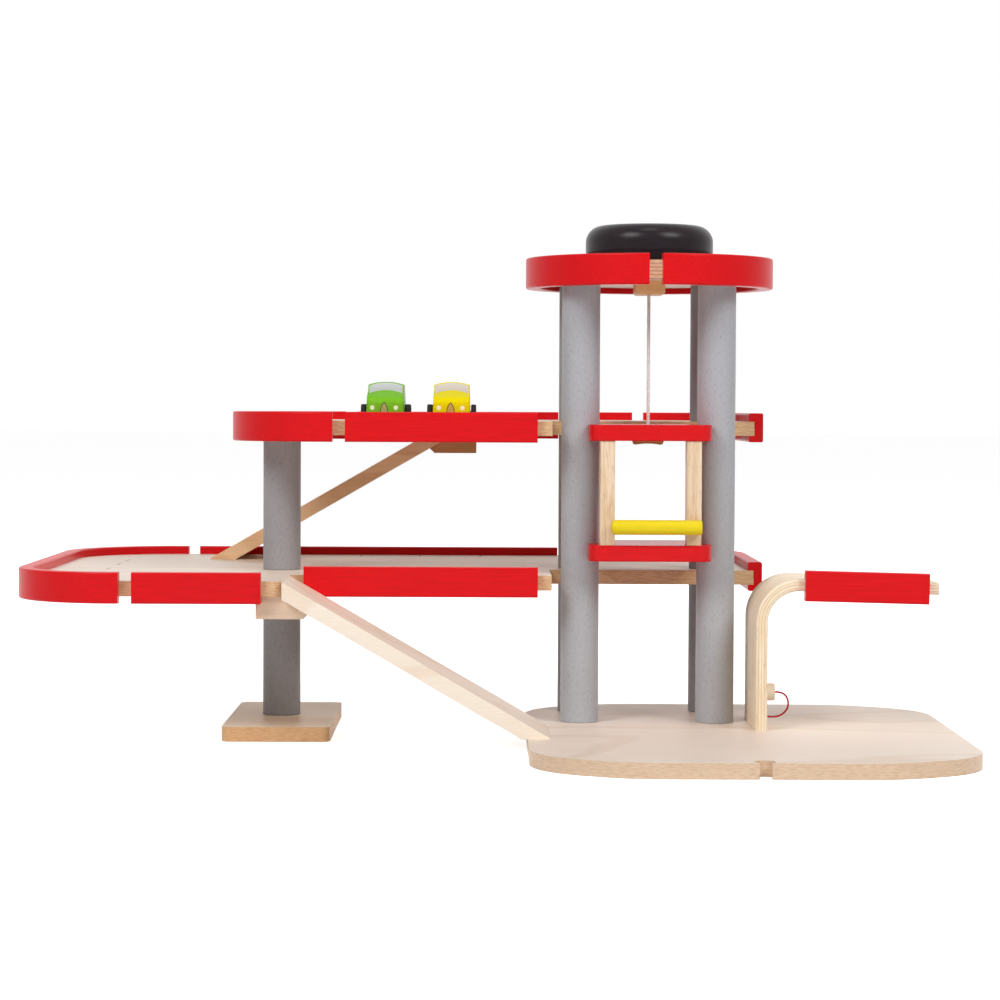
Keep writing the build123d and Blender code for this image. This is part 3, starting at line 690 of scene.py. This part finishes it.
def ropeMesh(name, places, s):
    steps, length = evenSteps(places, s["layLength"] / s["stepsPerTurn"])
    frames = carriedFrames(steps)
    turnStep = length / (len(frames) - 1) / s["layLength"]
    mesh = bmesh.new()
    for strand in range(s["strands"]):
        centres = []
        for i, (place, side, over) in enumerate(frames):
            angle = math.tau * (strand / s["strands"] + i * turnStep)
            centres.append(roundPlace(place, side, over, angle, s["layRadius"]))
        strandTube(mesh, centres, s["strandRadius"], s["sides"])
    bmesh.ops.recalc_face_normals(mesh, faces=mesh.faces)
    data = bpy.data.meshes.new(name)
    mesh.to_mesh(data)
    mesh.free()
    data.polygons.foreach_set("use_smooth", [True] * len(data.polygons))
    return data


def ropeObject(name, places, s, material):
    data = ropeMesh(name, places, s)
    data.materials.append(material)
    rope = bpy.data.objects.new(name, data)
    scene.collection.objects.link(rope)
    return rope


cotton = ropeMaterial("cottonRope", ropeStyle)
ropeLow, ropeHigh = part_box("lift_rope")
ropeX = (ropeLow.x + ropeHigh.x) / 2
ropeY = (ropeLow.y + ropeHigh.y) / 2
hangingEnds = [Vector((ropeX, ropeY, ropeLow.z)), Vector((ropeX, ropeY, ropeHigh.z))]
hangingRope = ropeObject("hangingRope", hangingEnds, ropeStyle, cotton)
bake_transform(hangingRope)
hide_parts("lift_rope")

# the turn on the spool, then over the guide block and down through it, in millimetres
woundRoute = {
    "middle": (2.5, 45.5), "radius": 9.8, "firstAngle": math.pi, "firstHeight": 399.75,
    "pitch": 3.25, "pointsPerTurn": 12, "resolution": 12,
    "lead": 11.0,  # straight rope after the turn
    "over": (0.0, 5.0), "bend": 9.6, "lowEnd": 392.4,
}


def woundPoints(s):
    middleX, middleY = s["middle"]
    overX, overY = s["over"]
    count = s["pointsPerTurn"]
    cornerRadius = s["radius"] / math.cos(math.pi / count)
    points = []
    for i in range(count + 1):
        angle = s["firstAngle"] + math.tau * i / count
        radius = cornerRadius if 0 < i < count else s["radius"]
        points.append((middleX + radius * math.cos(angle), middleY + radius * math.sin(angle),
                       s["firstHeight"] + s["pitch"] * i / count))
    startX, startY, startZ = points[-1]
    leadHeight = startZ + s["lead"] * s["pitch"] / (math.tau * s["radius"])
    points.append((startX, startY - s["lead"], leadHeight))
    points.append((overX, overY, leadHeight))
    points.append((overX, overY, leadHeight - s["bend"] / 2))
    points.append((overX, overY, s["lowEnd"]))
    return [Vector(point) * mm for point in points]


woundPlaces = routePoints(woundPoints(woundRoute), "woundRoute", woundRoute["resolution"])
woundRope = ropeObject("woundRope", woundPlaces, ropeStyle, cotton)
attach(woundRope, "garage")
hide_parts("wound_rope")
print("ropes ready")


# red cord from the nozzle back into the canopy's leg, in millimetres
cordRoute = {
    "legRight": 100.8, "nozzleOut": 11.2, "side": -21.5, "high": 42.2, "low": 21.2, "loop": 24.0,
    "straight": 2.5, "inLeg": 9.4, "radius": 0.83, "length": 57.8, "resolution": 16, "bevelResolution": 4,
    "shares": [(0.58, 1.0), (0.98, 0.38), (0.94, -0.46), (0.41, -1.06), (-0.36, -1.12)],
}
cordStyle = {
    "light": rgb(206, 22, 46), "dark": rgb(150, 14, 34), "braidScale": 700.0, "braidBend": 3.0,
    "roughness": 0.75, "specular": 0.5, "bumpDepth": 0.1 * mm, "bumpStrength": 0.4, "edgeRound": 0.0,
}


# the loop's points are shares of its reach and of half its height
def cordPoints(s):
    face = s["legRight"] + s["nozzleOut"]
    reach = s["loop"] - s["nozzleOut"]
    half = (s["high"] - s["low"]) / 2
    middle = (s["high"] + s["low"]) / 2
    points = [(face, s["high"])]
    points += [(face + across * reach, middle + up * half) for across, up in s["shares"]]
    points += [(s["legRight"] + s["straight"], s["low"]), (s["legRight"] - s["inLeg"], s["low"])]
    return [Vector((x, s["side"], z)) * mm for x, z in points]


def cordMaterial(name, s):
    material, tree, shader = newMaterial(name)
    braid = tree.nodes.new("ShaderNodeTexWave")
    braid.inputs["Scale"].default_value = s["braidScale"]
    braid.inputs["Distortion"].default_value = s["braidBend"]
    tree.links.new(objectPlace(tree), braid.inputs["Vector"])
    weave = braid.outputs["Fac"]
    finishSurface(tree, shader, mixColour(tree, weave, s["light"], s["dark"]), weave, s)
    return material


def addCord(s, style):
    points = cordPoints(s)
    curve = bpy.data.curves.new("fuelCord", "CURVE")
    addSpline(curve, points, s["resolution"])
    curve.bevel_depth = s["radius"] * mm
    curve.bevel_resolution = s["bevelResolution"]
    curve.use_fill_caps = True
    curve.materials.append(cordMaterial("redCord", style))
    cord = bpy.data.objects.new("fuelCord", curve)
    scene.collection.objects.link(cord)
    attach(cord, "nozzle")
    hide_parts("fuel_cord")


addCord(cordRoute, cordStyle)
print("cord ready")


# floor, backdrop and light
studio = {
    "floorSize": 60.0, "floorDrop": 0.2 * mm, "floorColour": (0.84, 0.84, 0.84, 1.0),
    "floorRoughness": 0.9, "floorSpecular": 0.1, "floorGlow": 0.8, "worldLight": 0.17,
}
lamps = {
    "leftLamp": {"place": (-2.0, -2.3, 2.5), "aim": (-0.1, 0.0, 0.2), "size": 1.8, "power": 69.0},
    "rightLamp": {"place": (2.0, -2.3, 2.5), "aim": (0.0, 0.0, 0.2), "size": 1.8, "power": 67.0},
    "topLamp": {"place": (0.0, -0.6, 3.0), "aim": (0.0, 0.0, 0.2), "size": 0.8, "power": 6.0},
    "backLamp": {
        "place": (0.4, 3.0, 1.8), "aim": (0.0, 0.2, 0.2), "size": 1.4, "power": 30.0, "mirrored": False,
    },
}


def seenDirectly(tree):  # by the camera, or in a shiny or clear surface
    path = tree.nodes.new("ShaderNodeLightPath")
    seen = plus(tree, path.outputs["Is Camera Ray"], path.outputs["Is Glossy Ray"])
    return calc(tree, "ADD", seen, path.outputs["Is Transmission Ray"], clamp=True)


def addFloor(s):
    half = s["floorSize"] / 2
    corners = [(-half, -half), (half, -half), (half, half), (-half, half)]
    mesh = bpy.data.meshes.new("studioFloor")
    mesh.from_pydata([(x, y, -s["floorDrop"]) for x, y in corners], [], [(0, 1, 2, 3)])
    material, tree, shader = newMaterial("studioFloor")
    shader.inputs["Base Color"].default_value = s["floorColour"]
    shader.inputs["Roughness"].default_value = s["floorRoughness"]
    shader.inputs["Specular IOR Level"].default_value = s["floorSpecular"]
    shader.inputs["Emission Color"].default_value = white
    glow = times(tree, seenDirectly(tree), s["floorGlow"])
    tree.links.new(glow, shader.inputs["Emission Strength"])
    mesh.materials.append(material)
    floor = bpy.data.objects.new("studioFloor", mesh)
    scene.collection.objects.link(floor)


def addWorld(s):
    world = bpy.data.worlds.new("studioWorld")
    scene.world = world
    world.use_nodes = True
    tree = world.node_tree
    background = tree.nodes["Background"]
    background.inputs["Color"].default_value = white
    strength = calc(tree, "MULTIPLY_ADD", seenDirectly(tree), 1.0 - s["worldLight"], s["worldLight"])
    tree.links.new(strength, background.inputs["Strength"])


def addLamp(name, s):
    data = bpy.data.lights.new(name, "AREA")
    data.shape = "DISK"
    data.size = s["size"]
    data.energy = s["power"]
    lamp = bpy.data.objects.new(name, data)
    lamp.visible_glossy = s.get("mirrored", True)
    scene.collection.objects.link(lamp)
    lamp.location = s["place"]
    lamp.rotation_euler = (Vector(s["aim"]) - Vector(s["place"])).to_track_quat("-Z", "Y").to_euler()


addFloor(studio)
addWorld(studio)
for name, settings in lamps.items():
    addLamp(name, settings)
print("studio ready")
